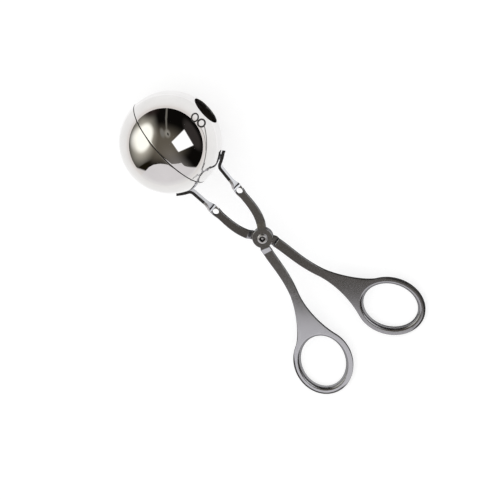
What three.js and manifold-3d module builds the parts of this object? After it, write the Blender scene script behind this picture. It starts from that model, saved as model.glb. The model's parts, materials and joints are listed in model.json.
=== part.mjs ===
// Meatball tongs: two drained half-ball cups on scissor arms that cross at one rivet.
// Millimetres, +Z up, lying on a table and closed. +Y runs from the finger rings to the ball and
// +X to the cup of the upper arm. The origin is on the table, below the middle of the whole.
//
// Each piece is drawn in the plane of the tongs: x across, y from the rivet to the ball, z up
// from the middle of the sheet. Each arm is drawn with its cup on the +x side, and the lower one is
// then mirrored. Both finger rings have their lips turned down.

import * as THREE from "three";
import { mergeVertices } from "three/addons/utils/BufferGeometryUtils.js";
import Module from "manifold-3d";

const wasm = await Module();
wasm.setup();

// Ball and cups
const ballDiameter = 48;
const cupWall = 0.7;
const rimGap = 0.3;
const drainDiameter = 14.5;

// Places along the tongs
const rivetToBall = 62.5;
const rivetToRing = 65;
const ringAside = 21.7;

// Sheet of the arms
const sheet = 1.5;
const edgeRound = 0.4;
const weldGap = 0.3;

// Weld tab and upright strip
const tabStart = THREE.MathUtils.degToRad(21);
const tabEnd = THREE.MathUtils.degToRad(37.5);
const footBend = 1.6;
const stripWidth = 4.1;
const twistLength = 5;

// Front plate
const eyeAside = 7.7;
const eyeAlong = 24;
const eyeDiameter = 3.1;
const eyeWidth = 4.3;
const waistFromEye = 3.4;
const waistWidth = 3.6;
const frontWidth = 4.2;

// Boss at the rivet
const bossDiameter = 9.8;
const bossGap = 0.3;
const joggleClear = 0.35;
const frontJoggle = 1.7;
const rearJoggle = 2.5;

// Handle shank
const shankWidth = 4.1;
const shankRootWidth = 4.8;
const webAside = 8.4;
const webAlong = 30.4;

// Finger ring
const ringLength = 26.2;
const ringWidth = 21.3;
const ringTilt = THREE.MathUtils.degToRad(28.7);
const ringBand = 3.6;
const lipHeight = 2.6;
const lipWall = 1;
const lipBend = 1.5;

// Rivet
const rivetDiameter = 3;
const rivetPlay = 0.05;
const rivetSeat = 0.2;
const headDiameter = 4.8;
const headHeight = 0.9;
const headRound = 0.4;
const dimpleDiameter = 2.2;
const dimpleDepth = 0.7;
const dimpleFloor = 1.2;
const tailDiameter = 4.6;
const tailHeight = 0.7;
const tailRound = 0.3;

// One overrun for every cut, and for the shank's end inside the web
const overrun = 1;

// Shapes of the curves, as shares of the lengths that they join
const frontLeaveShare = 0.6;
const frontArriveShares = [0.99, 0.34];
const handleLeaveShares = [0.62, 0.18];
const handleArriveShares = [0.35, 0.53];
const outerFlareShares = [0.23, 0.29];
const innerFlareShares = [0.32, 0.32];
const flareStart = THREE.MathUtils.degToRad(128);
const flareEnd = THREE.MathUtils.degToRad(222);

// Facet counts
const cupTurns = 36;
const cupSteps = 10;
const roundTurns = 28;
const ringSteps = 40;
const flareSteps = 8;
const cutSteps = 2;
const bendSteps = 3;
const tabSteps = 3;
const twistSteps = 8;
const plateSteps = 8;
const shankSteps = 8;

// Values worked out from the sizes above
const ballRadius = ballDiameter / 2;
const halfSheet = sheet / 2;
const bossLevel = (sheet + bossGap) / 2;
const tabRadius = ballRadius + weldGap + halfSheet;
const eye = new THREE.Vector2(eyeAside, eyeAlong);
const webStart = new THREE.Vector2(-webAside, -webAlong);
const ringCentre = new THREE.Vector2(-ringAside, -rivetToRing);
const joggleStart = bossDiameter / 2 + joggleClear;

// A closed mesh as a manifold-3d solid, with its faces turned out.
function solidOf(geometry) {
  const bare = geometry.clone();
  bare.deleteAttribute("normal");
  bare.deleteAttribute("uv");
  const merged = mergeVertices(bare);
  const mesh = (triVerts) =>
    new wasm.Manifold(
      new wasm.Mesh({
        numProp: 3,
        vertProperties: merged.attributes.position.array,
        triVerts,
      }),
    );
  const triangles = new Uint32Array(merged.index.array);
  const solid = mesh(triangles);
  return solid.volume() > 0 ? solid : mesh(triangles.slice().reverse());
}

function geometryOf(solid) {
  const { vertProperties, triVerts, numProp } = solid.getMesh();
  const positions = new Float32Array((vertProperties.length / numProp) * 3);
  for (let i = 0; i * numProp < vertProperties.length; i++)
    positions.set(vertProperties.subarray(i * numProp, i * numProp + 3), i * 3);
  const geometry = new THREE.BufferGeometry();
  geometry.setAttribute("position", new THREE.BufferAttribute(positions, 3));
  geometry.setIndex(new THREE.BufferAttribute(triVerts, 1));
  geometry.computeVertexNormals();
  return geometry;
}

// A skin over sections of equal point counts. A closed skin joins its last section to its first,
// and an open one has flat ends, so the sections of an open one are convex.
function skin(sections, closed) {
  const around = sections[0].length;
  const positions = sections.flat().flatMap((point) => point.toArray());
  const at = (section, point) =>
    (section % sections.length) * around + (point % around);
  const index = [];
  const strips = closed ? sections.length : sections.length - 1;
  for (let s = 0; s < strips; s++)
    for (let p = 0; p < around; p++) {
      index.push(at(s, p), at(s, p + 1), at(s + 1, p + 1));
      index.push(at(s, p), at(s + 1, p + 1), at(s + 1, p));
    }
  for (let p = 1; !closed && p < around - 1; p++) {
    index.push(at(0, 0), at(0, p + 1), at(0, p));
    index.push(at(strips, 0), at(strips, p), at(strips, p + 1));
  }
  const geometry = new THREE.BufferGeometry();
  geometry.setAttribute(
    "position",
    new THREE.Float32BufferAttribute(positions, 3),
  );
  geometry.setIndex(index);
  return geometry;
}

// Section of the bar: a rectangle with its four corners taken off.
// A station has a place, a heading, a width, a twist that turns its top outwards, and the share
// of the boss's height that it has risen.
function barSection({ place, heading, width, twist, rise }, bossAt) {
  const across = new THREE.Vector3(-heading.y, heading.x, 0);
  const wide = across.clone().multiplyScalar(Math.cos(twist));
  wide.z = -Math.sin(twist);
  const thick = across.clone().multiplyScalar(Math.sin(twist));
  thick.z = Math.cos(twist);
  const a = width / 2;
  const b = halfSheet;
  const a1 = a - edgeRound;
  const b1 = b - edgeRound;
  const corners = [
    [a1, b],
    [-a1, b],
    [-a, b1],
    [-a, -b1],
    [-a1, -b],
    [a1, -b],
    [a, -b1],
    [a, b1],
  ];
  return corners.map(([u, v]) =>
    new THREE.Vector3(place.x, place.y, rise * bossAt)
      .addScaledVector(wide, u)
      .addScaledVector(thick, v),
  );
}

// Stations along the tab, which is bent round the cup, then round the foot into the strip.
function tabStations(footCurve, tabArc) {
  const upright = { width: stripWidth, twist: Math.PI / 2, rise: 0 };
  const stations = [];
  for (let i = 0; i < tabSteps; i++)
    stations.push({
      place: tabArc.getPoint(i / tabSteps),
      heading: tabArc.getTangent(i / tabSteps),
      ...upright,
    });
  for (let i = 0; i <= bendSteps; i++)
    stations.push({
      place: footCurve.getPoint(i / bendSteps),
      heading: footCurve.getTangent(i / bendSteps),
      ...upright,
    });
  return stations;
}

// Stations of the quarter twist that lays the upright strip down flat beside the eye.
function twistStations(heading) {
  const flatTo = eye.clone().addScaledVector(heading, -eyeWidth / 2);
  const stations = [];
  for (let i = 0; i <= twistSteps; i++) {
    const done = i / twistSteps;
    stations.push({
      place: flatTo.clone().addScaledVector(heading, -twistLength * (1 - done)),
      heading,
      width: THREE.MathUtils.lerp(stripWidth, eyeWidth, done),
      twist: (1 - done) * (Math.PI / 2),
      rise: 0,
    });
  }
  return stations;
}

// Share of the boss's height at a distance along the arm from the rivet.
function jogRise(distance, joggle) {
  const done = (distance - joggleStart) / joggle;
  return 1 - THREE.MathUtils.clamp(done, 0, 1);
}

// Stations of the front plate, from the eye to the rivet.
function plateStations(heading) {
  const arrive = eye
    .clone()
    .multiply(new THREE.Vector2(...frontArriveShares));
  const leave = eye
    .clone()
    .addScaledVector(heading, frontLeaveShare * (eye.length() - arrive.length()));
  const curve = new THREE.CubicBezierCurve(
    eye,
    leave,
    arrive,
    new THREE.Vector2(),
  );
  const long = curve.getLength();
  const jogged = [joggleStart + frontJoggle, joggleStart];
  const plain = (i) =>
    THREE.MathUtils.lerp(long - waistFromEye, jogged[0], i / plateSteps);
  const distances = [long];
  for (let i = 0; i < plateSteps; i++) distances.push(plain(i));
  distances.push(...jogged);
  return distances.map((distance, i) => ({
    place: curve.getPointAt(1 - distance / long),
    heading: curve.getTangentAt(1 - distance / long),
    width: i
      ? THREE.MathUtils.lerp(
          waistWidth,
          frontWidth,
          Math.min(1, (long - waistFromEye - distance) / (long - jogged[0])),
        )
      : eyeWidth,
    twist: 0,
    rise: jogRise(distance, frontJoggle),
  }));
}

function handleCurve() {
  const reach = webStart.clone();
  return new THREE.CubicBezierCurve(
    new THREE.Vector2(),
    reach.clone().multiply(new THREE.Vector2(...handleLeaveShares)),
    reach.clone().multiply(new THREE.Vector2(...handleArriveShares)),
    reach,
  );
}

// Stations of the shank, from the rivet into the web.
function shankStations(curve) {
  const long = curve.getLength();
  const jogged = joggleStart + rearJoggle;
  const distances = [joggleStart];
  for (let i = 0; i <= shankSteps; i++)
    distances.push(THREE.MathUtils.lerp(jogged, long, i / shankSteps));
  const stations = distances.map((distance) => ({
    place: curve.getPointAt(distance / long),
    heading: curve.getTangentAt(distance / long),
    width: THREE.MathUtils.lerp(shankRootWidth, shankWidth, distance / long),
    twist: 0,
    rise: jogRise(distance, rearJoggle),
  }));
  const last = stations.at(-1);
  const inWeb = last.place.clone().addScaledVector(last.heading, overrun);
  return [...stations, { ...last, place: inWeb }];
}

// The bar: tab, foot, strip, twist, front plate, boss crossing and shank, as one skin.
function bar(handle, bossAt) {
  const ball = new THREE.Vector2(0, rivetToBall);
  const around = (angle) =>
    new THREE.Vector2(Math.sin(angle), -Math.cos(angle))
      .multiplyScalar(tabRadius)
      .add(ball);
  const footAngle = tabStart + footBend / tabRadius;
  const tabArc = new THREE.ArcCurve(
    ball.x,
    ball.y,
    tabRadius,
    tabEnd - Math.PI / 2,
    footAngle - Math.PI / 2,
    true,
  );
  const foot = around(footAngle).addScaledVector(
    new THREE.Vector2(-Math.cos(footAngle), -Math.sin(footAngle)),
    footBend,
  );
  const heading = eye.clone().sub(foot).normalize();
  const footCurve = new THREE.QuadraticBezierCurve(
    around(footAngle),
    foot,
    foot.clone().addScaledVector(heading, footBend),
  );
  const stations = [
    ...tabStations(footCurve, tabArc),
    ...twistStations(heading),
    ...plateStations(heading),
    ...shankStations(handle),
  ];
  const sections = stations.map((station) => barSection(station, bossAt));
  return skin(sections, false);
}

// A point of the finger ring's ellipse, grown outwards by a width.
function ringPoint(angle, grow) {
  const long = new THREE.Vector2(-Math.sin(ringTilt), -Math.cos(ringTilt));
  const short = new THREE.Vector2(-Math.cos(ringTilt), Math.sin(ringTilt));
  return ringCentre
    .clone()
    .addScaledVector(long, (ringLength / 2 + grow) * Math.cos(angle))
    .addScaledVector(short, (ringWidth / 2 + grow) * Math.sin(angle));
}

// Both edges of the web, from the ring to the shank and back, as flared curves.
function flares(handle) {
  const heading = handle.getTangent(1);
  const side = new THREE.Vector2(heading.y, -heading.x);
  const outer = webStart.clone().addScaledVector(side, shankWidth / 2);
  const inner = webStart.clone().addScaledVector(side, -shankWidth / 2);
  const step = THREE.MathUtils.degToRad(1);
  const leave = ringPoint(flareStart, ringBand);
  const leaveWay = ringPoint(flareStart + step, ringBand)
    .sub(leave)
    .normalize();
  const arrive = ringPoint(flareEnd, ringBand);
  const arriveWay = ringPoint(flareEnd - step, ringBand)
    .sub(arrive)
    .normalize();
  const flare = (from, fromWay, to, toWay, shares) => {
    const chord = from.distanceTo(to);
    return new THREE.CubicBezierCurve(
      from,
      from.clone().addScaledVector(fromWay, shares[0] * chord),
      to.clone().addScaledVector(toWay, shares[1] * chord),
      to,
    );
  };
  return {
    outerFlare: flare(leave, leaveWay, outer, heading, outerFlareShares),
    innerFlare: flare(inner, heading, arrive, arriveWay, innerFlareShares),
  };
}

// Stations round the ring: a point of the finger hole and the point of the outline across from it.
function ringStations(handle) {
  const { outerFlare, innerFlare } = flares(handle);
  const web = [];
  for (let i = 0; i < flareSteps; i++)
    web.push(outerFlare.getPoint(i / flareSteps));
  for (let i = 0; i < cutSteps; i++)
    web.push(
      outerFlare.getPoint(1).lerp(innerFlare.getPoint(0), i / cutSteps),
    );
  for (let i = 0; i < flareSteps; i++)
    web.push(innerFlare.getPoint(i / flareSteps));
  const stations = web.map((outline, i) => ({
    angle: THREE.MathUtils.lerp(flareStart, flareEnd, i / web.length),
    outline,
  }));
  for (let i = 0; i < ringSteps; i++) {
    const full = flareStart + 2 * Math.PI;
    const angle = THREE.MathUtils.lerp(flareEnd, full, i / ringSteps);
    stations.push({ angle, outline: ringPoint(angle, ringBand) });
  }
  return stations;
}

// Section of the web and ring: flat sheet with a rounded outer edge, and a lip that turns down
// round the finger hole.
function ringSection({ angle, outline }, inwards) {
  const lip = ringPoint(angle, 0);
  const away = ringPoint(angle, ringBand).sub(lip).normalize();
  const point = (base, way, distance, z) =>
    new THREE.Vector3(
      base.x + way.x * distance,
      base.y + way.y * distance,
      z,
    );
  const section = [point(outline, inwards, edgeRound, halfSheet)];
  for (let i = 0; i <= bendSteps; i++) {
    const turn = ((i / bendSteps) * Math.PI) / 2;
    const drop = lipBend * (1 - Math.cos(turn));
    const left = lipBend * (1 - Math.sin(turn));
    section.push(point(lip, away, left, halfSheet - drop));
  }
  section.push(point(lip, away, 0, halfSheet - lipHeight));
  section.push(point(lip, away, lipWall, halfSheet - lipHeight));
  section.push(point(lip, away, lipWall, -halfSheet));
  section.push(point(outline, inwards, edgeRound, -halfSheet));
  section.push(point(outline, inwards, 0, edgeRound - halfSheet));
  section.push(point(outline, inwards, 0, halfSheet - edgeRound));
  return section;
}

function ringAndWeb(handle) {
  const stations = ringStations(handle);
  const count = stations.length;
  const sections = stations.map((station, i) => {
    const before = stations[(i + count - 1) % count].outline;
    const after = stations[(i + 1) % count].outline;
    const way = after.clone().sub(before).normalize();
    return ringSection(station, new THREE.Vector2(way.y, -way.x));
  });
  return skin(sections, true);
}

// A round solid about the z axis, from a closed profile of radius and height.
function turned(profile) {
  const points = profile.map(([radius, z]) => new THREE.Vector2(radius, z));
  return new THREE.LatheGeometry(points, roundTurns).rotateX(Math.PI / 2);
}

function boss(bossAt) {
  const radius = bossDiameter / 2;
  return turned([
    [0, -halfSheet],
    [radius - edgeRound, -halfSheet],
    [radius, edgeRound - halfSheet],
    [radius, halfSheet - edgeRound],
    [radius - edgeRound, halfSheet],
    [0, halfSheet],
  ]).translate(0, 0, bossAt);
}

function drill(diameter, place) {
  const depth = 2 * (bossLevel + sheet + overrun);
  return new THREE.CylinderGeometry(
    diameter / 2,
    diameter / 2,
    depth,
    roundTurns,
  )
    .rotateX(Math.PI / 2)
    .translate(place.x, place.y, 0);
}

// One arm: a single stamping from the weld tab to the finger ring, with its boss at a height.
function armGeometry(bossAt) {
  const handle = handleCurve();
  const body = solidOf(bar(handle, bossAt))
    .add(solidOf(boss(bossAt)))
    .add(solidOf(ringAndWeb(handle)));
  const rivetHole = drill(rivetDiameter + 2 * rivetPlay, new THREE.Vector2());
  return geometryOf(
    body.subtract(solidOf(rivetHole)).subtract(solidOf(drill(eyeDiameter, eye))),
  );
}

// One cup: a thin half ball about the x axis, open at its rim, with a round drain at its pole.
function cupGeometry() {
  const profile = [];
  const arc = (radius, from, to) => {
    for (let i = 0; i <= cupSteps; i++) {
      const angle = THREE.MathUtils.lerp(from, to, i / cupSteps);
      profile.push(
        new THREE.Vector2(radius * Math.cos(angle), radius * Math.sin(angle)),
      );
    }
  };
  const inside = ballRadius - cupWall;
  const rim = (radius) => Math.asin(rimGap / 2 / radius);
  const drain = (radius) => Math.acos(drainDiameter / 2 / radius);
  arc(ballRadius, rim(ballRadius), drain(ballRadius));
  arc(inside, drain(inside), rim(inside));
  profile.push(profile[0].clone());
  return new THREE.LatheGeometry(profile, cupTurns).rotateZ(-Math.PI / 2);
}

// The rivet, with a dimpled head above the upper boss and a flat tail below the lower one.
function rivetGeometry() {
  const shank = rivetDiameter / 2;
  const dimple = dimpleDiameter / 2;
  const under = bossLevel + halfSheet + rivetSeat;
  const head = headDiameter / 2;
  const tail = tailDiameter / 2;
  const top = under + headHeight;
  const foot = -under - tailHeight;
  return turned([
    [0, foot],
    [tail - tailRound, foot],
    [tail, foot + tailRound],
    [tail, -under],
    [shank, -under],
    [shank, under],
    [head, under],
    [head, top - headRound],
    [head - headRound, top],
    [dimple, top],
    [dimpleFloor / 2, top - dimpleDepth],
    [0, top - dimpleDepth],
  ]);
}

const polished = new THREE.MeshStandardMaterial({
  color: 0xe4e3e1,
  roughness: 0.05,
  metalness: 1,
});
const satin = new THREE.MeshStandardMaterial({
  color: 0x8f8d8e,
  roughness: 0.35,
  metalness: 1,
});
const riveted = new THREE.MeshStandardMaterial({
  color: 0xa3a1a1,
  roughness: 0.3,
  metalness: 1,
});

function named(name, geometry, material) {
  const mesh = new THREE.Mesh(geometry, material);
  mesh.name = name;
  return mesh;
}

// How far the ball's end tips up when the closed tongs lie on a table, on the ball and on the
// lowest point of each finger ring.
function tableTilt(arm) {
  const places = arm.attributes.position;
  const settlings = 4;
  let tilt = 0;
  for (let i = 0; i < settlings; i++) {
    const height = (p) =>
      places.getY(p) * Math.sin(tilt) + places.getZ(p) * Math.cos(tilt);
    let lowest = 0;
    for (let p = 1; p < places.count; p++)
      if (height(p) < height(lowest)) lowest = p;
    const back = places.getY(lowest) - rivetToBall;
    const down = places.getZ(lowest);
    tilt = Math.acos(-ballRadius / Math.hypot(back, down)) + Math.atan2(back, down);
  }
  return tilt;
}

const cup = cupGeometry();
const upperArm = named("upper_arm", armGeometry(bossLevel), satin);
const lowerArm = named("lower_arm", armGeometry(-bossLevel), satin);
lowerArm.scale.x = -1;
const rivet = named("rivet", rivetGeometry(), riveted);
const cupRight = named("cup_right", cup, polished);
const cupLeft = named("cup_left", cup, polished);

// The cups are turned about their own axis so that their facets stand square to the table.
const tilt = tableTilt(upperArm.geometry);
cupRight.position.y = rivetToBall;
cupLeft.position.y = rivetToBall;
cupRight.rotation.x = -tilt;
cupLeft.rotation.set(-tilt, Math.PI, 0);

const tongs = new THREE.Group();
tongs.add(upperArm, lowerArm, rivet, cupRight, cupLeft);
tongs.rotation.x = tilt;
const box = new THREE.Box3().setFromObject(tongs, true);
const middle = box.getCenter(new THREE.Vector3());
tongs.position.set(-middle.x, -middle.y, -box.min.z);

const part = new THREE.Group();
part.add(tongs);

export default part;
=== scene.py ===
# Meatball tongs: the finished look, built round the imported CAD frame.
# Shapes are drawn in millimetres in the plane of the tongs, like the solids: x across, y from the
# rivet to the ball, z up from the middle of the sheet. place() carries them into the frame.

import json
import math

import bmesh
import bpy
import numpy as np
from mathutils import Matrix, Vector

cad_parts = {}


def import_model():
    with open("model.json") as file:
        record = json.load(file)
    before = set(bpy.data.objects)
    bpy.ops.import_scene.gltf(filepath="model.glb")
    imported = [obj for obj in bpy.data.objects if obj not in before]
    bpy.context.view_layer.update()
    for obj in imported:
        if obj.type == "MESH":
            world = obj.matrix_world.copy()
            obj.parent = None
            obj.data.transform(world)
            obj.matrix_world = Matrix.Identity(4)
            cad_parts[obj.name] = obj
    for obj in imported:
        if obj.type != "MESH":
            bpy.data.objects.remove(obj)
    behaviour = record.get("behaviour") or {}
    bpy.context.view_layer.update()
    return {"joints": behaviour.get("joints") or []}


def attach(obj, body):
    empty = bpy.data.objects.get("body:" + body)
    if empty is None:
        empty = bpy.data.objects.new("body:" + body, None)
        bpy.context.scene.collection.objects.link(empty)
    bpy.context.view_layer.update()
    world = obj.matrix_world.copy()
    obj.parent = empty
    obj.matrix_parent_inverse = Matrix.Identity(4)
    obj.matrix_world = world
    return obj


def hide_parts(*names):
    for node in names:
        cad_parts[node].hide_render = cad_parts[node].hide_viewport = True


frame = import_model()

# Sizes of the solids, in millimetres
BALL_RADIUS = 24.0
CUP_WALL = 0.7
RIM_GAP = 0.3
DRAIN_RADIUS = 7.25
RIVET_TO_BALL = 62.5
RIVET_TO_RING = 65.0
RING_ASIDE = 21.7
SHEET = 1.5
WELD_GAP = 0.3
TAB_START = math.radians(21)
TAB_END = math.radians(37.5)
FOOT_BEND = 1.6
STRIP_WIDTH = 4.1
TWIST_LENGTH = 6.75
FLAT_BEFORE_EYE = 0.4
EYE = np.array((7.7, 24.0))
EYE_RADIUS = 1.55
EYE_WIDTH = 4.3
WAIST_FROM_EYE = 3.4
WAIST_WIDTH = 3.6
FRONT_WIDTH = 4.2
BOSS_RADIUS = 4.9
BOSS_GAP = 0.3
JOGGLE_START = BOSS_RADIUS + 0.35
FRONT_JOGGLES = {1: (BOSS_RADIUS + 0.4, 2.3), -1: (BOSS_RADIUS + 0.55, 1.85)}
REAR_JOGGLES = {1: (BOSS_RADIUS + 0.35, 2.5), -1: (BOSS_RADIUS + 1.05, 1.1)}
SHANK_WIDTH = 4.1
SHANK_ROOT_WIDTH = 4.8
WEB_START = np.array((-8.4, -30.4))
RING_CENTRE = np.array((-RING_ASIDE, -RIVET_TO_RING))
RING_HALF_LENGTH = 13.1
RING_HALF_WIDTH = 10.65
RING_TILT = math.radians(28.7)
RING_BAND = 3.56
LIP_HEIGHT = 2.6
LIP_WALL = 1.0
HALF_SHEET = SHEET / 2
BOSS_LEVEL = (SHEET + BOSS_GAP) / 2
TAB_RADIUS = BALL_RADIUS + WELD_GAP + HALF_SHEET

# The sheet's edges: how far their rounding reaches, and the lip's slopes below its top bend
EDGE = 0.2
LIP_SLOPE = math.radians(48)
LIP_END_SLOPE = math.radians(76)
LIP_TOP_BEND = 1.3

# The cups' roundings, and how many rows each side of a cup's wall has
FINE_EDGE = 0.1
SHELL_ROWS = 61

# How far the bar stands proud of the boss and the web that it crosses
PROUD = 0.004

# How far the ring's outer side rolls over, across and down, which way that side faces, over how
# many points of the web the roll fades out, and how many points the ring's outline has
ROLL_WIDTH = 1.2
ROLL_DEPTH = 0.35
ROLL_FACES = (-0.9, -0.43)
ROLL_FADE = 20
RING_STEPS = 132

# Which of an arm's materials a face has. The cut and lip faces take darker steels, painted dark
# for shade.
FLAT_FACE, SHADED_CUT_FACE, LIP_FACE, TWIST_FACE = range(4)

# The rows of a bar's outline that lie on its cut edges. Its ends count as row -1.
BAR_EDGES = (-1, 0, 1, 9, 10, 11, 12, 13, 21, 22, 23)

# The weld nugget's profile: radius, and height over the ball
NUGGET = ((0.02, -0.3), (1.7, -0.2), (1.35, 0.15), (1.4, 0.45), (0.02, 0.5))

# The rivet: its bore, and how far its head and tail stand over the arms
BORE_RADIUS = 1.5
HEAD_HEIGHT = 1.1
TAIL_HEIGHT = 0.9

# Where the tongs lie: the hinge carries the rivet's place and the way that the sheet faces
JOINT = frame["joints"][0]
RIVET_AT = np.array(JOINT["pos_m"])
SHEET_UP = np.array(JOINT["axis"]) / np.linalg.norm(JOINT["axis"])
ALONG = np.cross(SHEET_UP, (1, 0, 0))


def place(points):
    """Points in the plane of the tongs, in millimetres, as points of the frame, in metres."""
    p = np.asarray(points, float) * 0.001
    return RIVET_AT + p[:, :1] * (1, 0, 0) + p[:, 1:2] * ALONG + p[:, 2:3] * SHEET_UP


def solid(name, verts, faces, materials=()):
    """A mesh object. A face is the numbers of its vertices, led by which material it has."""
    mesh = bpy.data.meshes.new(name)
    mesh.from_pydata([tuple(v) for v in verts], [], [face[1:] for face in faces])
    mesh.polygons.foreach_set("material_index", [face[0] for face in faces])
    for material in materials:
        mesh.materials.append(material)
    tidy = bmesh.new()
    tidy.from_mesh(mesh)
    bmesh.ops.remove_doubles(tidy, verts=tidy.verts, dist=1e-3)
    bmesh.ops.recalc_face_normals(tidy, faces=tidy.faces)
    tidy.to_mesh(mesh)
    tidy.free()
    obj = bpy.data.objects.new(name, mesh)
    bpy.context.scene.collection.objects.link(obj)
    return obj


def settle(obj):
    """Takes the object's modifiers into its mesh."""
    depsgraph = bpy.context.evaluated_depsgraph_get()
    made = bpy.data.meshes.new_from_object(obj.evaluated_get(depsgraph))
    obj.modifiers.clear()
    obj.data = made


def cut(obj, tool):
    """Cuts a solid out of an object."""
    step = obj.modifiers.new("cut", "BOOLEAN")
    step.operation = "DIFFERENCE"
    step.solver = "EXACT"
    step.object = tool
    settle(obj)
    bpy.data.objects.remove(tool)


def add(obj, other):
    """Adds another solid's skin to an object."""
    both = bmesh.new()
    both.from_mesh(obj.data)
    both.from_mesh(other.data)
    both.to_mesh(obj.data)
    both.free()
    bpy.data.objects.remove(other)


def piece(obj, body, node):
    """Carries a solid into the frame as a smooth piece on a body. Its flat faces shade flat."""
    spots = np.empty(3 * len(obj.data.vertices))
    obj.data.vertices.foreach_get("co", spots)
    obj.data.vertices.foreach_set("co", place(spots.reshape(-1, 3)).ravel())
    obj.data.update()
    obj.data.shade_smooth()
    obj.data.set_sharp_from_angle(angle=math.radians(40))
    normals = obj.modifiers.new("normals", "WEIGHTED_NORMAL")
    normals.mode = "FACE_AREA"
    normals.weight = 50
    normals.keep_sharp = True
    settle(obj)
    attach(obj, body)
    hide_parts(node)


def skin(sections, closed, finish=lambda across, along: 0):
    """Vertices and faces of a skin over sections of equal point counts."""
    count = len(sections)
    around = len(sections[0])
    verts = np.concatenate(sections)
    faces = []
    for s in range(count if closed else count - 1):
        for p in range(around):
            q = (p + 1) % around
            t = (s + 1) % count
            corners = (s * around + p, s * around + q, t * around + q, t * around + p)
            faces.append((finish(p, s), *corners))
    if not closed:
        faces.append((finish(-1, 0), *range(around)))
        last = (count - 1) * around
        faces.append((finish(-1, count), *(last + p for p in reversed(range(around)))))
    return verts, faces


def bezier(a, b, c, d, t):
    t = np.asarray(t, float)[:, None]
    a, b, c, d = (np.asarray(p, float) for p in (a, b, c, d))
    return (1 - t) ** 3 * a + 3 * (1 - t) ** 2 * t * b + 3 * (1 - t) * t**2 * c + t**3 * d


class Path:
    """A plane curve of many points that can be asked for a place and heading at a distance."""

    def __init__(self, points):
        self.points = points
        steps = np.linalg.norm(np.diff(points, axis=0), axis=1)
        self.at = np.concatenate(([0], np.cumsum(steps)))
        self.long = self.at[-1]
        self.ways = np.gradient(points, self.at, axis=0)

    def place(self, distance):
        return np.array([np.interp(distance, self.at, self.points[:, k]) for k in (0, 1)])

    def heading(self, distance):
        way = np.array([np.interp(distance, self.at, self.ways[:, k]) for k in (0, 1)])
        return way / np.linalg.norm(way)


FINE = np.linspace(0, 1, 241)


def smooth(x):
    x = min(max(x, 0.0), 1.0)
    return x * x * (3 - 2 * x)


def rounded(width, depth, steps=5):
    """A rectangle with round corners, as rows of across and up, anticlockwise."""
    a, b = width / 2, depth / 2
    points = []
    for corner in range(4):
        sx = 1 if corner in (0, 3) else -1
        sy = 1 if corner < 2 else -1
        for i in range(steps + 1):
            turn = (i / steps) * math.pi / 2
            if corner in (1, 3):
                turn = math.pi / 2 - turn
            x = a - EDGE * (1 - math.cos(turn))
            y = b - EDGE * (1 - math.sin(turn))
            points.append((sx * x, sy * y))
    return points


def bar_section(place_at, heading, width, twist, rise, boss_at, proud=PROUD):
    """The bar's outline at one place. A rise of 1 is at the level of its boss."""
    across = np.array((-heading[1], heading[0], 0))
    wide = across * math.cos(twist) + np.array((0, 0, -math.sin(twist)))
    thick = across * math.sin(twist) + np.array((0, 0, math.cos(twist)))
    base = np.array((place_at[0], place_at[1], rise * boss_at))
    outline = rounded(width, SHEET + 2 * proud)
    return np.array([base + u * wide + v * thick for u, v in outline])


def jog_rise(distance, start, length):
    """How far up a joggle is, from 1 down to 0, along a slope with a bend at each end."""
    bend = 0.15
    x = min(max((distance - start) / length, 0.0), 1.0)
    gone = (x - bend / 2) / (1 - bend)
    gone += max(bend - x, 0) ** 2 / (2 * bend * (1 - bend))
    gone -= max(x - 1 + bend, 0) ** 2 / (2 * bend * (1 - bend))
    return 1 - gone


def handle_path():
    """The shank's middle line, from the rivet to the web."""
    leave = WEB_START * (0.62, 0.18)
    arrive = WEB_START * (0.35, 0.53)
    return Path(bezier((0, 0), leave, arrive, WEB_START, FINE))


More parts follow.
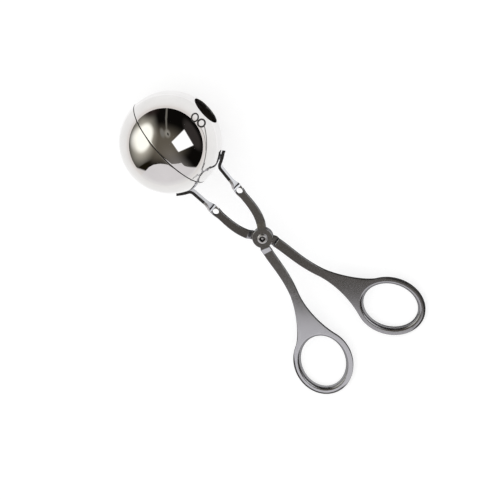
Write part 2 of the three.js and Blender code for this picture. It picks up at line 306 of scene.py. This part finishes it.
def bar(side):
    """Tab, foot, strip, twist, front plate, boss crossing and shank, as one skin."""
    boss_at, turned_by = side * BOSS_LEVEL, side * math.pi / 2
    ball = np.array((0, RIVET_TO_BALL))

    def around(angle):
        return ball + TAB_RADIUS * np.array((math.sin(angle), -math.cos(angle)))

    foot_angle = TAB_START + FOOT_BEND / TAB_RADIUS
    foot = around(foot_angle) - FOOT_BEND * np.array(
        (math.cos(foot_angle), math.sin(foot_angle))
    )
    heading = (EYE - foot) / np.linalg.norm(EYE - foot)

    # The tab follows the ball, and a knee turns it into the upright strip
    stations = []
    for angle in np.linspace(TAB_END, foot_angle, 14)[:-1]:
        way = np.array((-math.cos(angle), -math.sin(angle)))
        stations.append((around(angle), way, STRIP_WIDTH, turned_by, 0))
    t = np.linspace(0, 1, 12)[:, None]
    knee = [around(foot_angle), foot, foot + FOOT_BEND * heading]
    bend = (1 - t) ** 2 * knee[0] + 2 * (1 - t) * t * knee[1] + t**2 * knee[2]
    ways = 2 * (1 - t) * (knee[1] - knee[0]) + 2 * t * (knee[2] - knee[1])
    for spot, way in zip(bend, ways):
        stations.append((spot, way / np.linalg.norm(way), STRIP_WIDTH, turned_by, 0))

    # The strip twists flat just before the eye
    flat_to = EYE - heading * FLAT_BEFORE_EYE
    twisting = len(stations)
    for done in np.linspace(0, 1, 29):
        spot = flat_to - heading * TWIST_LENGTH * (1 - done)
        width = STRIP_WIDTH + (EYE_WIDTH - STRIP_WIDTH) * done
        stations.append((spot, heading, width, (1 - smooth(done**1.6)) * turned_by, 0))

    # The front plate runs from the eye over its waist and up its joggle to the boss
    flat = len(stations)
    arrive = EYE * (0.99, 0.34)
    gap = np.linalg.norm(EYE) - np.linalg.norm(arrive)
    plate = Path(bezier(EYE, EYE + heading * 0.6 * gap, arrive, (0, 0), FINE))
    joggle, run = FRONT_JOGGLES[side]
    joggled = joggle + run
    span = plate.long - WAIST_FROM_EYE - joggled
    for distance in np.concatenate(
        (
            np.linspace(plate.long, joggled, 56),
            np.linspace(joggled, joggle, 21)[1:],
            (JOGGLE_START,),
        )
    ):
        gone = plate.long - distance
        if gone < WAIST_FROM_EYE:
            width = EYE_WIDTH + (WAIST_WIDTH - EYE_WIDTH) * smooth(gone / WAIST_FROM_EYE)
        else:
            share = min(1, (gone - WAIST_FROM_EYE) / span)
            width = WAIST_WIDTH + (FRONT_WIDTH - WAIST_WIDTH) * share
        rise = jog_rise(distance, joggle, run)
        stations.append((plate.place(gone), plate.heading(gone), width, 0, rise))

    # The shank leaves the boss by the rear joggle
    handle = handle_path()
    joggle, run = REAR_JOGGLES[side]
    for distance in np.concatenate(
        (
            (JOGGLE_START,),
            np.linspace(joggle, joggle + run, 21)[int(joggle == JOGGLE_START):],
            np.linspace(joggle + run, handle.long, 44)[1:],
        )
    ):
        share = distance / handle.long
        width = SHANK_ROOT_WIDTH + (SHANK_WIDTH - SHANK_ROOT_WIDTH) * share
        rise = jog_rise(distance, joggle, run)
        stations.append((handle.place(distance), handle.heading(distance), width, 0, rise))
    sections = [bar_section(*station, boss_at) for station in stations]

    # Its end sinks into the web
    end, heading = handle.place(handle.long), handle.heading(handle.long)
    for beyond in np.linspace(0.5, 6, 12):
        sunk = PROUD * (1 - beyond)
        spot = end + heading * beyond
        sections.append(bar_section(spot, heading, SHANK_WIDTH, 0, 0, boss_at, sunk))
    twist = range(twisting, flat)

    # The cut edges take the near-black edge steel, painted shade; in the twist they take the
    # rivet's steel.
    def finish(across, at):
        if across not in BAR_EDGES:
            return FLAT_FACE
        return TWIST_FACE if at in twist else SHADED_CUT_FACE

    return skin(sections, False, finish)


def ring_point(angle, grow):
    """A point of the finger hole's outline, grown by a distance."""
    long_way = np.array((-math.sin(RING_TILT), -math.cos(RING_TILT)))
    short_way = np.array((-math.cos(RING_TILT), math.sin(RING_TILT)))
    return (
        RING_CENTRE
        + long_way * (RING_HALF_LENGTH + grow) * math.cos(angle)
        + short_way * (RING_HALF_WIDTH + grow) * math.sin(angle)
    )


def ring_outline():
    """Angles round the finger hole and the outline's point across from each, with the web."""
    start, end = math.radians(128), math.radians(222)
    handle = handle_path()
    heading = handle.heading(handle.long)
    side = np.array((heading[1], -heading[0]))
    outer = WEB_START + side * (SHANK_WIDTH / 2 - 0.02)
    inner = WEB_START - side * (SHANK_WIDTH / 2 - 0.02)
    step = math.radians(1)

    def unit(vector):
        return vector / np.linalg.norm(vector)

    leave, arrive = ring_point(start, RING_BAND), ring_point(end, RING_BAND)
    leave_way = unit(ring_point(start + step, RING_BAND) - leave)
    arrive_way = unit(ring_point(end - step, RING_BAND) - arrive)

    def flare(a, a_way, b, b_way, shares):
        chord = np.linalg.norm(b - a)
        t = np.linspace(0, 1, 37)
        return bezier(a, a + a_way * shares[0] * chord, b + b_way * shares[1] * chord, b, t)

    web = np.concatenate(
        (
            flare(leave, leave_way, outer, heading, (0.23, 0.29))[:-1],
            (outer,),
            np.linspace(outer - heading * 1.5, inner - heading * 1.5, 5),
            flare(inner, heading, arrive, arrive_way, (0.32, 0.32))[:-1],
        )
    )
    angles = list(np.linspace(start, end, len(web), endpoint=False))
    outline = list(web)
    for angle in np.linspace(end, start + 2 * math.pi, RING_STEPS, endpoint=False):
        angles.append(angle)
        outline.append(ring_point(angle, RING_BAND))
    return angles, np.array(outline)


def ring_and_web():
    """The web and ring: flat sheet with a rounded outer edge and a lip round the finger hole."""
    angles, outline = ring_outline()
    ways = np.roll(outline, -1, axis=0) - np.roll(outline, 1, axis=0)
    ways /= np.linalg.norm(ways, axis=1)[:, None]
    inwards = np.stack([ways[:, 1], -ways[:, 0]], 1)
    top = HALF_SHEET
    web = len(outline) - RING_STEPS
    sections = []
    for number, (angle, edge, inward) in enumerate(zip(angles, outline, inwards)):
        rolled = smooth((-inward.dot(ROLL_FACES) - 0.1) / 0.4)
        if number < web:
            rolled *= smooth(1 - number / ROLL_FADE)
        roll_width = EDGE + (ROLL_WIDTH - EDGE) * rolled
        roll_depth = EDGE + (ROLL_DEPTH - EDGE) * rolled
        lip = ring_point(angle, 0)
        away = ring_point(angle, RING_BAND) - lip
        away /= np.linalg.norm(away)
        rows = []

        def put(base, way, distance, z):
            rows.append((*(base + way * distance), z))

        # The outer edge's top rounding
        for turn in np.linspace(0, math.pi / 2, 6):
            reach = roll_width * (1 - math.cos(turn))
            put(edge, inward, reach, top - roll_depth * (1 - math.sin(turn)))

        # The lip: a bend down, a slope that steepens, a round rim and the wall's far side
        low = HALF_SHEET - LIP_HEIGHT
        rim = LIP_WALL / 2
        sine, cosine = math.sin(LIP_SLOPE), math.cos(LIP_SLOPE)
        bend_end = top - LIP_TOP_BEND * (1 - cosine)
        end_sine, end_cosine = math.sin(LIP_END_SLOPE), math.cos(LIP_END_SLOPE)
        foot = low + rim * (1 + end_cosine)
        wall = (bend_end - foot) / (cosine - end_cosine)
        drawn_in = wall * (end_sine - sine) + rim * (1 - end_sine)
        for turn in np.linspace(0, LIP_SLOPE, 12):
            reach = LIP_TOP_BEND * (sine - math.sin(turn))
            put(lip, away, drawn_in + reach, top - LIP_TOP_BEND * (1 - math.cos(turn)))
        for turn in np.linspace(LIP_SLOPE, LIP_END_SLOPE, 8)[1:-1]:
            reach = wall * (math.sin(turn) - sine)
            put(lip, away, drawn_in - reach, bend_end - wall * (cosine - math.cos(turn)))
        for turn in np.linspace(LIP_END_SLOPE - math.pi / 2, math.pi, 10):
            put(lip, away, rim * (1 - math.cos(turn)), low + rim * (1 - math.sin(turn)))
        put(lip, away, drawn_in + LIP_WALL, -top)

        # The outer edge's lower rounding
        for turn in np.linspace(math.pi / 2, 0, 6):
            reach = EDGE * (1 - math.cos(turn))
            put(edge, inward, reach, -top + EDGE * (1 - math.sin(turn)))
        sections.append(np.array(rows))
    # The outer edges take the near-black edge steel and the lip the dark lip steel: both painted
    # shade.
    finishes = [SHADED_CUT_FACE] * 4 + [FLAT_FACE] * 7 + [LIP_FACE] * 23
    finishes += [FLAT_FACE] + [SHADED_CUT_FACE] * 6
    return skin(sections, True, lambda across, along: finishes[across])


def turned(profile, turns=96, finish=lambda across, along: 0):
    """A round skin about the z axis over a profile of radius and height."""
    rows = []
    for angle in np.linspace(0, 2 * math.pi, turns, endpoint=False):
        rows.append([(r * math.cos(angle), r * math.sin(angle), z) for r, z in profile])
    return skin([np.array(row) for row in rows], True, finish)


def arc(centre, radii, start, end, steps):
    """Points of an elliptical arc, in radius and height."""
    return [
        (centre[0] + radii[0] * math.cos(a), centre[1] + radii[1] * math.sin(a))
        for a in np.linspace(start, end, steps + 1)
    ]


def boss(boss_at):
    """The round boss at the rivet. Its rim and its bore are cut edges, painted near-black for
    shade.
    """
    half = HALF_SHEET
    core = (BOSS_RADIUS - EDGE, half - EDGE)
    radii = (EDGE, EDGE)
    quarter = math.pi / 2
    profile = [(BORE_RADIUS, half)] + arc(core, radii, quarter, 0, 6)
    profile += arc((core[0], -core[1]), radii, 0, -quarter, 6) + [(BORE_RADIUS, -half)]
    cut_rows = (7, len(profile) - 1)
    return turned(
        [(r, z + boss_at) for r, z in profile],
        finish=lambda across, along: SHADED_CUT_FACE if across in cut_rows else FLAT_FACE,
    )


def drill():
    """What cuts the eye."""
    reach = 2 * SHEET
    turns = np.linspace(0, 2 * math.pi, 64, endpoint=False)
    rows = [
        np.array([(EYE[0] + EYE_RADIUS * math.cos(a), EYE[1] + EYE_RADIUS * math.sin(a), z)
                  for a in turns])
        for z in (-reach, reach)
    ]
    return skin(rows, False, lambda across, along: SHADED_CUT_FACE)


def weld():
    """The nugget that joins the tab to its cup."""
    middle = (TAB_START + TAB_END) / 2 + math.radians(2)
    out = np.array((math.sin(middle), -math.cos(middle), 0))
    across = np.array((math.cos(middle), math.sin(middle), 0))
    spot = np.array((0, RIVET_TO_BALL, 0))
    rows = []
    for turn in np.linspace(0, 2 * math.pi, 32, endpoint=False):
        way = across * math.cos(turn) + np.array((0, 0, math.sin(turn)))
        rows.append([spot + out * (BALL_RADIUS + rise) + way * r for r, rise in NUGGET])
    return skin([np.array(row) for row in rows], True)


def arm(name, side, body, materials):
    """One arm. The upper one has its cup on the right and its boss raised."""

    def part(shape):
        verts, faces = shape
        return solid(name + "_sheet", verts * (side, 1, 1), faces, materials)

    obj = part(bar(side))
    cut(obj, part(drill()))
    for shape in (boss(side * BOSS_LEVEL), ring_and_web(), weld()):
        add(obj, part(shape))
    piece(obj, body, name)


def cup(name, side, body, materials):
    """A thin half ball, open at its drain, with a fine rounding at every edge."""
    fine = FINE_EDGE
    inner = BALL_RADIUS - CUP_WALL
    rim_at, hole = RIM_GAP / 2, DRAIN_RADIUS
    profile = []

    def at_rim(radius):
        return math.asin((rim_at + fine) / radius)

    def at_hole(radius):
        return math.acos((hole + fine) / radius)

    def shell(radius, start, end):
        for angle in np.linspace(start, end, SHELL_ROWS):
            profile.append((radius * math.cos(angle), radius * math.sin(angle)))

    shell(BALL_RADIUS, at_rim(BALL_RADIUS), at_hole(BALL_RADIUS))
    edge = BALL_RADIUS * math.sin(at_hole(BALL_RADIUS))
    profile.extend([(hole + fine * 0.3, edge), (hole, edge - fine * 0.9)])
    edge = inner * math.sin(math.acos(hole / inner))
    profile.extend([(hole, edge + fine), (hole + fine * 0.3, edge + fine * 0.2)])
    shell(inner, at_hole(inner), at_rim(inner))
    profile.extend([(inner + fine * 0.3, rim_at + fine * 0.3), (inner + fine, rim_at)])
    profile.extend([(BALL_RADIUS - fine, rim_at), (BALL_RADIUS - fine * 0.3, rim_at + fine * 0.3)])
    sections = []
    for angle in np.linspace(0, 2 * math.pi, 192, endpoint=False):
        across, up = math.cos(angle), math.sin(angle)
        rows = [(side * h, RIVET_TO_BALL + r * across, r * up) for r, h in profile]
        sections.append(np.array(rows))
    # The outside and drain edge, the inside, and the rims at the seam. The inside is painted dark
    # and the rims near-black, both for shade.
    finishes = [0] * (SHELL_ROWS + 3) + [1] * (SHELL_ROWS + 2) + [2] * 3
    verts, faces = skin(sections, True, lambda across, along: finishes[across])
    piece(solid(name + "_shell", verts, faces, materials), body, name)


def rivet(materials):
    """The rivet: a flat tail with a round edge, a shaft, and a head with a groove and dimple."""
    under = BOSS_LEVEL + HALF_SHEET
    quarter = math.pi / 2
    top, foot = under + HEAD_HEIGHT, -under - TAIL_HEIGHT
    profile = [(0.02, foot), (1.4, foot)]
    profile += arc((1.8, foot + 0.4), (0.5, 0.4), -quarter, 0, 6)
    profile += [(2.3, -under), (BORE_RADIUS, -under), (BORE_RADIUS, under), (2.4, under)]
    profile += arc((1.6, top - 0.8), (0.8, 0.8), 0, quarter, 9)
    groove = len(profile)
    profile += arc((1.6, top - 0.5), (0.4, 0.5), quarter, math.pi, 6)
    profile += [(1.0, top - 0.85), (0.75, top - 0.85)]
    profile += arc((0.02, top - 0.85), (0.65, 0.4), 0.3, quarter, 5)
    # The groove's lower faces and the recess floor take the near-black edge steel: painted shade
    # in the groove.
    dark = range(groove + 2, groove + 9)
    verts, faces = turned(profile, finish=lambda across, along: int(across in dark))
    piece(solid("rivet_body", verts, faces, materials), "lower", "rivet")


class Nodes:
    """Short ways to add nodes to a material or world."""

    def __init__(self, block):
        block.use_nodes = True
        self.tree = block.node_tree
        self.tree.nodes.clear()

    def add(self, kind, **values):
        node = self.tree.nodes.new(kind)
        for key, value in values.items():
            if hasattr(node, key):
                setattr(node, key, value)
            else:
                self.give(node.inputs[key], value)
        return node

    def give(self, socket, value):
        if isinstance(value, bpy.types.NodeSocket):
            self.tree.links.new(value, socket)
        else:
            socket.default_value = value

    def math(self, operation, *values):
        node = self.add("ShaderNodeMath", operation=operation)
        for slot, value in enumerate(values):
            self.give(node.inputs[slot], value)
        return node.outputs[0]

    def ramp(self, value, start, end, low=0.0, high=1.0, kind="SMOOTHSTEP"):
        node = self.add("ShaderNodeMapRange", interpolation_type=kind)
        for socket, given in zip(node.inputs, (value, start, end, low, high)):
            self.give(socket, given)
        return node.outputs["Result"]

    def mix(self, share, under, over, kind="MIX"):
        node = self.add("ShaderNodeMix", data_type="RGBA", blend_type=kind)
        self.give(node.inputs["Factor"], share)
        sockets = [s for s in node.inputs if s.type == "RGBA"]
        self.give(sockets[0], (*under, 1) if isinstance(under, tuple) else under)
        self.give(sockets[1], (*over, 1) if isinstance(over, tuple) else over)
        return [s for s in node.outputs if s.type == "RGBA"][0]

    def dot(self, vector, axis):
        node = self.add("ShaderNodeVectorMath", operation="DOT_PRODUCT")
        self.give(node.inputs[0], vector)
        node.inputs[1].default_value = axis
        return node.outputs["Value"]

    def end(self, shader, kind="ShaderNodeOutputMaterial"):
        self.tree.links.new(shader.outputs[0], self.add(kind).inputs["Surface"])


def steel(name, colour, rough, spread, grain, bump, wave, slant=1.0):
    """Stainless steel: slight stains, uneven polish and a fine surface.

    The roughness varies by its spread over the grain, and the bumps over the wave. The slant
    says how much the steel brightens where it is seen at a slant.
    """
    material = bpy.data.materials.new(name)
    nodes = Nodes(material)
    where = nodes.add("ShaderNodeTexCoord").outputs["Object"]

    def noise(scale, detail, roughness):
        node = nodes.add("ShaderNodeTexNoise", Scale=scale, Detail=detail, Roughness=roughness)
        nodes.give(node.inputs["Vector"], where)
        return node.outputs["Fac"]

    stains = nodes.ramp(noise(90.0, 4.0, 0.6), 0.3, 0.7, 0.93, 1.0, "LINEAR")
    least, most = rough - spread, rough + spread
    uneven = nodes.ramp(noise(grain, 5.0, 0.65), 0.3, 0.7, least, most, "LINEAR")
    height = noise(wave, 3.0, 0.5)
    dents = nodes.add("ShaderNodeBump", Strength=1.0, Distance=bump, Height=height)
    shader = nodes.add("ShaderNodeBsdfPrincipled", Metallic=1.0, Roughness=uneven)
    nodes.give(shader.inputs["Specular Tint"], (slant, slant, slant, 1))
    nodes.give(shader.inputs["Base Color"], nodes.mix(1.0, colour, stains, "MULTIPLY"))
    nodes.give(shader.inputs["Normal"], dents.outputs["Normal"])
    nodes.end(shader)
    return material


POLISHED = steel("polished_steel", (0.85, 0.84, 0.835), 0.035, 0.015, 400.0, 2e-6, 60.0)
# The cups' inside: a rougher steel, painted dark for the shade inside the closed ball.
CUP_INSIDE_SHADE = steel("cup_inside_painted_shade", (0.40, 0.39, 0.38), 0.32, 0.05, 900.0, 2e-6, 900.0)
SATIN = steel("satin_steel", (0.64, 0.65, 0.68), 0.13, 0.025, 1500.0, 6e-7, 1800.0)
# A darker copy of the satin steel for the lower arm: painted shade, as both arms are the same
# steel.
SATIN_PAINTED_SHADE = steel("satin_steel_painted_shade", (0.53, 0.535, 0.56), 0.13, 0.025, 1500.0, 6e-7, 1800.0)
# Rough cut edges, also on the eye, the cups' rims at the seam and the rivet's groove: their
# near-black colour is painted shade.
ROUGH_EDGE_SHADE = steel("cut_edge_painted_shade", (0.09, 0.088, 0.088), 0.45, 0.06, 2500.0, 2e-6, 2500.0, 0.2)
# The finger holes' lip: a rougher steel, painted dark for the shade in and round the hole.
LIP = steel("lip_steel_painted_shade", (0.36, 0.36, 0.375), 0.24, 0.03, 1500.0, 6e-7, 1800.0, 0.2)
RIVET = steel("rivet_steel", (0.72, 0.71, 0.72), 0.36, 0.04, 1500.0, 6e-7, 1800.0)

cup("cup_right", 1, "upper", (POLISHED, CUP_INSIDE_SHADE, ROUGH_EDGE_SHADE))
cup("cup_left", -1, "lower", (POLISHED, CUP_INSIDE_SHADE, ROUGH_EDGE_SHADE))
arm("upper_arm", 1, "upper", (SATIN, ROUGH_EDGE_SHADE, LIP, RIVET))
arm("lower_arm", -1, "lower", (SATIN_PAINTED_SHADE, ROUGH_EDGE_SHADE, LIP, RIVET))
rivet((RIVET, ROUGH_EDGE_SHADE))

# The camera that fits the photograph: its picture and focal length in pixels, and its place from
# the ball in metres, along the axes to the right and up in the photograph and back to the camera
PICTURE = 500
FOCAL_PIXELS = 2156.7
SENSOR = 36.0
CAMERA_FROM_BALL = (0.03689, -0.04994, 1.0)
RIGHT, UP, BACK = (
    Vector(p[0] * Vector((1, 0, 0)) + p[1] * Vector(ALONG) + p[2] * Vector(SHEET_UP)).normalized()
    for p in ((0.72, -0.686, -0.1055), (0.6217, 0.705, -0.3414), (0.3085, 0.1802, 0.9341))
)
BALL_AT = Vector(place([(0, RIVET_TO_BALL, 0)])[0])

camera_data = bpy.data.cameras.new("camera")
camera_data.sensor_width = SENSOR
camera_data.lens = SENSOR * FOCAL_PIXELS / PICTURE
camera_data.clip_start = 0.05
camera_data.clip_end = 50.0
camera = bpy.data.objects.new("camera", camera_data)
bpy.context.scene.collection.objects.link(camera)
camera.location = BALL_AT + sum(
    (share * axis for share, axis in zip(CAMERA_FROM_BALL, (RIGHT, UP, BACK))), Vector()
)
TOP = (UP - UP.dot(RIGHT) * RIGHT).normalized()
camera.rotation_mode = "QUATERNION"
turn = Matrix((RIGHT, TOP, RIGHT.cross(TOP))).transposed()
camera.rotation_quaternion = turn.to_quaternion()
bpy.context.scene.camera = camera

# The same axes as the ball has them, for what its mirror shows the photographer
TO_CAMERA = (camera.location - BALL_AT).normalized()
TO_RIGHT = (RIGHT - RIGHT.dot(TO_CAMERA) * TO_CAMERA).normalized()
TO_TOP = TO_CAMERA.cross(TO_RIGHT)


# The rays that don't see a thing which only shows in the metal
OTHER_RAYS = ("camera", "diffuse", "transmission", "volume_scatter", "shadow")


def staged(name, verts, faces, material, seen):
    """A thing of the studio. One that isn't seen only shows in the metal."""
    mesh = bpy.data.meshes.new(name)
    mesh.from_pydata([tuple(v) for v in verts], [], faces)
    mesh.materials.append(material)
    obj = bpy.data.objects.new(name, mesh)
    bpy.context.scene.collection.objects.link(obj)
    if not seen:
        for ray in OTHER_RAYS:
            setattr(obj, "visible_" + ray, False)
    return obj


def world():
    """White all round, at the level at which a colour looks as it is written."""
    sky = bpy.data.worlds.new("studio")
    bpy.context.scene.world = sky
    nodes = Nodes(sky)
    nodes.end(nodes.add("ShaderNodeBackground", Color=(1, 1, 1, 1)), "ShaderNodeOutputWorld")


def floor():
    """White paper, lifted for the camera and in the metal so that it shows as white."""
    material = bpy.data.materials.new("floor_paper")
    nodes = Nodes(material)
    rays = nodes.add("ShaderNodeLightPath").outputs
    seen = nodes.math("MAXIMUM", rays["Is Camera Ray"], rays["Is Glossy Ray"])
    seen = nodes.math("MAXIMUM", seen, rays["Is Transmission Ray"])
    glow = nodes.add("ShaderNodeEmission", Strength=nodes.math("MULTIPLY", seen, 0.55))
    both = nodes.add("ShaderNodeAddShader")
    paper = nodes.add("ShaderNodeBsdfDiffuse", Color=(0.54, 0.54, 0.54, 1))
    nodes.give(both.inputs[0], paper.outputs[0])
    nodes.give(both.inputs[1], glow.outputs[0])
    nodes.end(both)
    reach = 6.0
    corners = [(-reach, -reach, 0), (reach, -reach, 0), (reach, reach, 0), (-reach, reach, 0)]
    staged("floor", corners, [(0, 1, 2, 3)], material, True)


def glowing(name):
    """A material for a thing that only shows its own tone, and lights nothing."""
    material = bpy.data.materials.new(name)
    material.cycles.emission_sampling = "NONE"
    return material, Nodes(material)


def table():
    """How the paper pales away from the object, as the metal shows it."""
    material, nodes = glowing("far_paper")
    where = nodes.add("ShaderNodeTexCoord").outputs["Object"]
    away = nodes.add("ShaderNodeVectorMath", operation="LENGTH")
    nodes.give(away.inputs[0], where)
    far = nodes.ramp(away.outputs["Value"], 0.05, 0.40, kind="LINEAR")
    colour = nodes.mix(far, (0.99, 0.99, 0.985), (0.81, 0.77, 0.745))
    nodes.end(nodes.add("ShaderNodeEmission", Color=colour))
    verts, faces = [], []
    turns = 64
    for radius in (0.05, 3.0):
        for k in range(turns):
            angle = 2 * math.pi * k / turns
            verts.append((radius * math.cos(angle), radius * math.sin(angle), 0.0002))
    for k in range(turns):
        j = (k + 1) % turns
        faces.append((k, j, turns + j, turns + k))
    obj = staged("far_paper", verts, faces, material, False)
    obj.location = (BALL_AT[0], BALL_AT[1], 0)


def card():
    """The pale wall beyond the handles, whose top edge shows in the ball and in the sheet."""
    outline = [(-80, 0), (-70, 109), (-64, 168), (-42, 229), (-7, 275), (30, 305), (70, 318),
               (150, 320), (192, 356), (235, 362), (330, 380), (410, 400), (425, 397),
               (391, 258), (450, 143), (545, 0)]
    towards = np.array((-0.894, -0.447, 0.0))
    along = np.array((0.447, -0.894, 0.0))
    base = np.array((BALL_AT[0], BALL_AT[1], 0)) + 0.212 * towards
    verts = [base + 0.001 * s * along + 0.001 * np.array((0, 0, h)) for s, h in outline]
    material, nodes = glowing("pale_wall")
    where = nodes.add("ShaderNodeTexCoord").outputs["Object"]
    height = nodes.dot(where, (0, 0, 1))
    pale = nodes.mix(nodes.ramp(height, 0.0, 0.07), (0.86, 0.85, 0.85), (0.76, 0.735, 0.745))
    colour = nodes.mix(nodes.ramp(height, 0.22, 0.40), pale, (0.70, 0.68, 0.68))
    nodes.end(nodes.add("ShaderNodeEmission", Color=colour))
    staged("pale_wall", verts, [tuple(range(len(verts)))], material, False)


def room():
    """The dark room, with a soft window, a square lamp on its stand and a warm ceiling.

    A direction's spot is where a mirror ball at the object shows it to the photographer: x to
    the right and y up, with 1 at the ball's outline. Each thing's shape is drawn there.
    """
    material, nodes = glowing("room")
    where = nodes.add("ShaderNodeTexCoord").outputs["Object"]
    unit = nodes.add("ShaderNodeVectorMath", operation="NORMALIZE")
    nodes.give(unit.inputs[0], where)
    towards = unit.outputs["Vector"]
    facing = nodes.math("ADD", nodes.dot(towards, TO_CAMERA), 1.0001)
    shrink = nodes.math("SQRT", nodes.math("MULTIPLY", facing, 2.0))
    x = nodes.math("DIVIDE", nodes.dot(towards, TO_RIGHT), shrink)
    y = nodes.math("DIVIDE", nodes.dot(towards, TO_TOP), shrink)

    def total(a, times_a, b, times_b):
        both = (nodes.math("MULTIPLY", a, times_a), nodes.math("MULTIPLY", b, times_b))
        return nodes.math("ADD", *both)

    def polygon(corners, soft):
        """1 inside a convex outline, whose corners run clockwise."""
        inside = None
        for (x0, y0), (x1, y1) in zip(corners, corners[1:] + corners[:1]):
            length = math.hypot(x1 - x0, y1 - y0)
            nx, ny = (y1 - y0) / length, -(x1 - x0) / length
            offset = nx * x0 + ny * y0
            part = nodes.ramp(total(x, nx, y, ny), offset - soft, offset + soft)
            inside = part if inside is None else nodes.math("MULTIPLY", inside, part)
        return inside

    def blob(cx, cy, rx, ry, turn, full):
        """1 in the middle of an ellipse, as far as a share of its radius, falling to 0."""
        c, s = math.cos(turn), math.sin(turn)
        dx, dy = nodes.math("SUBTRACT", x, cx), nodes.math("SUBTRACT", y, cy)
        u = total(dx, c / rx, dy, s / rx)
        v = total(dx, -s / ry, dy, c / ry)
        far = total(u, u, v, v)
        return nodes.ramp(nodes.math("SQRT", far), 1.0, full)

    # Each thing covers the ones before it: the soft glows of the room, the lamp's stand in two
    # lengths, what hangs on it, the lamp, and the pale wall's end with the room's two corners
    colour = (0.004, 0.0035, 0.003)
    for tone, mask in (
        ((3.68, 3.69, 3.59), blob(-0.52, 0.06, 0.33, 0.28, 1.20, 0.0)),
        ((0.128, 0.112, 0.088), blob(-0.17, -0.05, 0.61, 0.45, -0.04, 0.33)),
        ((0.294, 0.275, 0.258), blob(0.29, -0.74, 0.31, 0.90, 0.55, 0.0)),
        ((0.036, 0.031, 0.029), blob(0.41, 0.14, 0.13, 0.39, 0.48, 0.54)),
        ((0.834, 0.791, 0.678), blob(-0.53, 0.06, 0.31, 0.65, -0.19, 0.0)),
        ((1.257, 1.255, 1.146), blob(-0.50, 0.08, 0.18, 0.33, -0.30, 0.62)),
        ((0.010, 0.008, 0.004), blob(-0.81, -0.75, 0.64, 0.09, 0.73, 0.81)),
        ((0.026, 0.017, 0.016), blob(-0.38, 0.59, 0.18, 0.26, -0.73, 0.05)),
        ((0.17, 0.16, 0.14),
         polygon([(-0.085, 0.66), (-0.055, 0.66), (-0.065, 0.45), (-0.10, 0.45)], 0.008)),
        ((0.17, 0.16, 0.14),
         polygon([(-0.10, 0.46), (-0.07, 0.46), (-0.06, 0.2), (-0.09, 0.2)], 0.008)),
        ((0.20, 0.19, 0.17), blob(-0.155, 0.17, 0.06, 0.13, 0.3, 0.3)),
        ((0.30, 0.285, 0.25), blob(-0.06, 0.16, 0.075, 0.11, 0.3, 0.3)),
        ((0.02, 0.018, 0.015), blob(-0.05, 0.15, 0.022, 0.045, 0.3, 0.3)),
        ((1.3, 1.3, 1.3),
         polygon([(0.257, 0.237), (0.431, -0.058), (0.149, -0.185), (0.019, 0.002)], 0.01)),
        ((0.70, 0.675, 0.68),
         polygon([(0.2, -0.465), (0.60, -0.49), (0.7, -1.2), (0.2, -1.2)], 0.02)),
        ((0.74, 0.71, 0.70), polygon([(-0.64, -0.49), (-0.45, -0.555), (-0.60, -0.80)], 0.02)),
        ((0.74, 0.71, 0.70), polygon([(0.47, -0.50), (0.61, -0.36), (0.70, -0.70)], 0.02)),
    ):
        colour = nodes.mix(mask, colour, tone)
    nodes.end(nodes.add("ShaderNodeEmission", Color=colour))
    verts, faces = [], []
    turns, tiers = 64, 20
    for tier in range(tiers):
        angle = math.pi / 2 * tier / tiers
        for k in range(turns):
            turn = 2 * math.pi * k / turns
            verts.append((math.cos(angle) * math.cos(turn), math.cos(angle) * math.sin(turn),
                          math.sin(angle)))
    verts.append((0, 0, 1))
    for tier in range(tiers):
        for k in range(turns):
            j = (k + 1) % turns
            if tier == tiers - 1:
                faces.append((tier * turns + k, tier * turns + j, len(verts) - 1))
            else:
                faces.append((tier * turns + k, tier * turns + j, tier * turns + turns + j,
                              tier * turns + turns + k))
    reach = 2.5
    obj = staged("room", [np.array(v) * reach for v in verts], faces, material, False)
    obj.location = (BALL_AT[0], BALL_AT[1], 0)


def neighbour():
    """The next pair of tongs along, which only shows in the ball: its rings and an arm."""

    def beyond(spot):
        """Where the ball's mirror sees a spot: on the table, or a short way off."""
        a, b = (float(v) for v in spot)
        normal = a * TO_RIGHT + b * TO_TOP + math.sqrt(1 - a * a - b * b) * TO_CAMERA
        at = BALL_AT + 0.001 * BALL_RADIUS * normal
        view = (camera.location - at).normalized()
        way = 2 * view.dot(normal) * normal - view
        reach = 0.35
        if way.z < 0:
            reach = min(reach, (0.0006 - at.z) / way.z)
        return at + reach * way

    def ring(x, y, across, high, turn):
        t = np.linspace(0, 2 * math.pi, 33)
        c, s = math.cos(turn), math.sin(turn)
        u, v = across * np.cos(t), high * np.sin(t)
        return np.stack([x + c * u - s * v, y + s * u + c * v], 1)

    strokes = (
        (ring(0.463, 0.468, 0.062, 0.078, -0.3), 0.030, 0.05),
        (ring(0.587, 0.362, 0.068, 0.074, -0.6), 0.034, 0.05),
        (bezier((0.64, 0.31), (0.70, 0.10), (0.71, -0.20), (0.60, -0.50), np.linspace(0, 1, 25)),
         0.018, 0.22),
        (bezier((0.57, 0.27), (0.66, 0.16), (0.67, -0.05), (0.665, -0.16), np.linspace(0, 1, 25)),
         0.012, 0.40),
    )
    for number, (line, width, tone) in enumerate(strokes):
        ways = np.gradient(line, axis=0)
        ways /= np.linalg.norm(ways, axis=1)[:, None]
        aside = np.stack([-ways[:, 1], ways[:, 0]], 1) * width / 2
        verts = [beyond(spot) for spot in np.concatenate((line - aside, line + aside))]
        count = len(line)
        faces = [(k, k + 1, count + k + 1, count + k) for k in range(count - 1)]
        name = "neighbour_%d" % number
        material, nodes = glowing(name)
        nodes.end(nodes.add("ShaderNodeEmission", Color=(tone, tone * 0.97, tone * 0.93, 1)))
        staged(name, verts, faces, material, False)


world()
floor()
table()
card()
room()
neighbour()

bpy.context.scene.view_settings.view_transform = "Standard"
